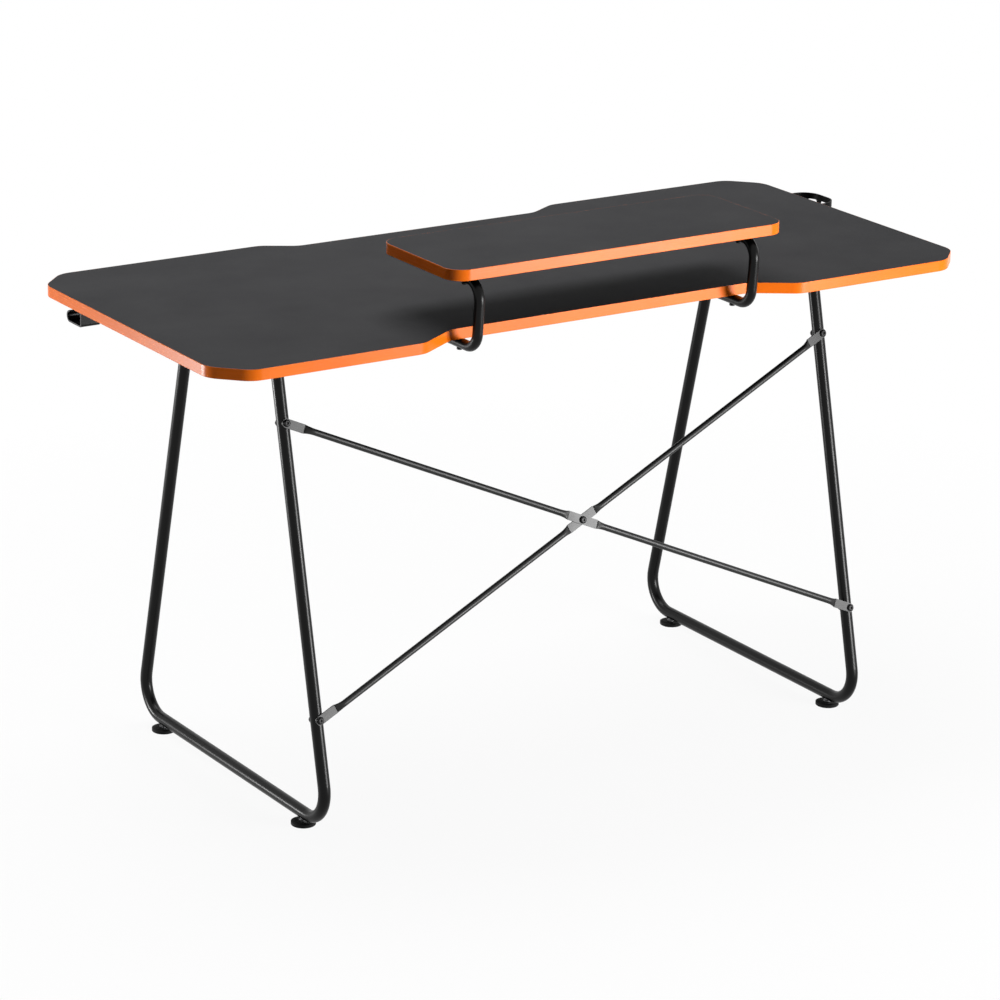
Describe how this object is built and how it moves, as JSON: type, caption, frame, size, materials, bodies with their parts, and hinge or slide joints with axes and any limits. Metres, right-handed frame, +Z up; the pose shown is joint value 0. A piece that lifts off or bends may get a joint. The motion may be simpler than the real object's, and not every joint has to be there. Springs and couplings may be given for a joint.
{
  "type": "computer desk with raised monitor shelf",
  "caption": "Gaming desk: dark top with orange edging and recessed long edges, raised shelf, splayed bent-tube legs, cross brace, cup holder and headphone hook.",
  "frame": {"origin": "middle of the whole object's footprint box, on the floor", "axes": "+X along the desktop towards the headphone hook, +Y to the rear where the shelf and the cross brace are, +Z up; the sitter is at -Y"},
  "size_m": [1.4414, 0.6078, 0.852],
  "materials": {
    "black_fastener": "black-oxide steel screws, bolts and nuts",
    "frame_black": "black powder-coated steel",
    "plastic_black": "black moulded plastic",
    "cup_black": "black coated steel, satin",
    "rivet_black": "blackened steel rivets",
    "board_dark": "dark grey laminated board",
    "edge_orange": "orange plastic edge strip",
    "zinc_steel": "zinc-plated steel"
  },
  "bodies": {
    "desk": {"brace_centre_bolt": "black_fastener", "brace_centre_nut": "black_fastener", "brace_leg_bolts": "black_fastener", "brace_leg_nuts": "black_fastener", "brace_tube_inner": "frame_black", "brace_tube_outer": "frame_black", "bracket_desk_screws": "black_fastener", "bracket_end_caps": "plastic_black", "bracket_shelf_screws": "black_fastener", "cup_holder": "cup_black", "cup_holder_bracket": "frame_black", "cup_holder_rivets": "rivet_black", "cup_holder_screws": "black_fastener", "desktop_board": "board_dark", "desktop_edge_band": "edge_orange", "foot_inserts": "zinc_steel", "headphone_hook": "frame_black", "hook_screws": "black_fastener", "leg_frame_left": "frame_black", "leg_frame_right": "frame_black", "leg_plate_screws": "black_fastener", "mount_plate_left": "frame_black", "mount_plate_right": "frame_black", "shelf_board": "board_dark", "shelf_bracket_left": "frame_black", "shelf_bracket_right": "frame_black", "shelf_edge_band": "edge_orange"},
    "pad_front_left": {"foot_pad_front_left": "plastic_black"},
    "stud_front_left": {"foot_stud_front_left": "zinc_steel"},
    "pad_rear_left": {"foot_pad_rear_left": "plastic_black"},
    "stud_rear_left": {"foot_stud_rear_left": "zinc_steel"},
    "pad_front_right": {"foot_pad_front_right": "plastic_black"},
    "stud_front_right": {"foot_stud_front_right": "zinc_steel"},
    "pad_rear_right": {"foot_pad_rear_right": "plastic_black"},
    "stud_rear_right": {"foot_stud_rear_right": "zinc_steel"}
  },
  "joints": [
    {"name": "foot_height_front_left", "type": "slide", "parent": "desk", "child": "pad_front_left", "axis": [0, 0, -1], "range_m": [0, 0.01001]},
    {"name": "foot_turn_front_left", "type": "hinge", "parent": "pad_front_left", "child": "stud_front_left", "pos_m": [-0.44675, -0.22739, 0], "axis": [0, 0, -1], "range_deg": [0, 2880]},
    {"name": "foot_height_rear_left", "type": "slide", "parent": "desk", "child": "pad_rear_left", "axis": [0, 0, -1], "range_m": [0, 0.01001]},
    {"name": "foot_turn_rear_left", "type": "hinge", "parent": "pad_rear_left", "child": "stud_rear_left", "pos_m": [-0.44675, 0.21261, 0], "axis": [0, 0, -1], "range_deg": [0, 2880]},
    {"name": "foot_height_front_right", "type": "slide", "parent": "desk", "child": "pad_front_right", "axis": [0, 0, -1], "range_m": [0, 0.01001]},
    {"name": "foot_turn_front_right", "type": "hinge", "parent": "pad_front_right", "child": "stud_front_right", "pos_m": [0.53825, -0.22739, 0], "axis": [0, 0, -1], "range_deg": [0, 2880]},
    {"name": "foot_height_rear_right", "type": "slide", "parent": "desk", "child": "pad_rear_right", "axis": [0, 0, -1], "range_m": [0, 0.01001]},
    {"name": "foot_turn_rear_right", "type": "hinge", "parent": "pad_rear_right", "child": "stud_rear_right", "pos_m": [0.53825, 0.21261, 0], "axis": [0, 0, -1], "range_deg": [0, 2880]}
  ],
  "couplings": [
    {"joint": "foot_height_front_left", "follows": "foot_turn_front_left", "m_per_rad": 0.00019894},
    {"joint": "foot_height_rear_left", "follows": "foot_turn_rear_left", "m_per_rad": 0.00019894},
    {"joint": "foot_height_front_right", "follows": "foot_turn_front_right", "m_per_rad": 0.00019894},
    {"joint": "foot_height_rear_right", "follows": "foot_turn_rear_right", "m_per_rad": 0.00019894}
  ]
}
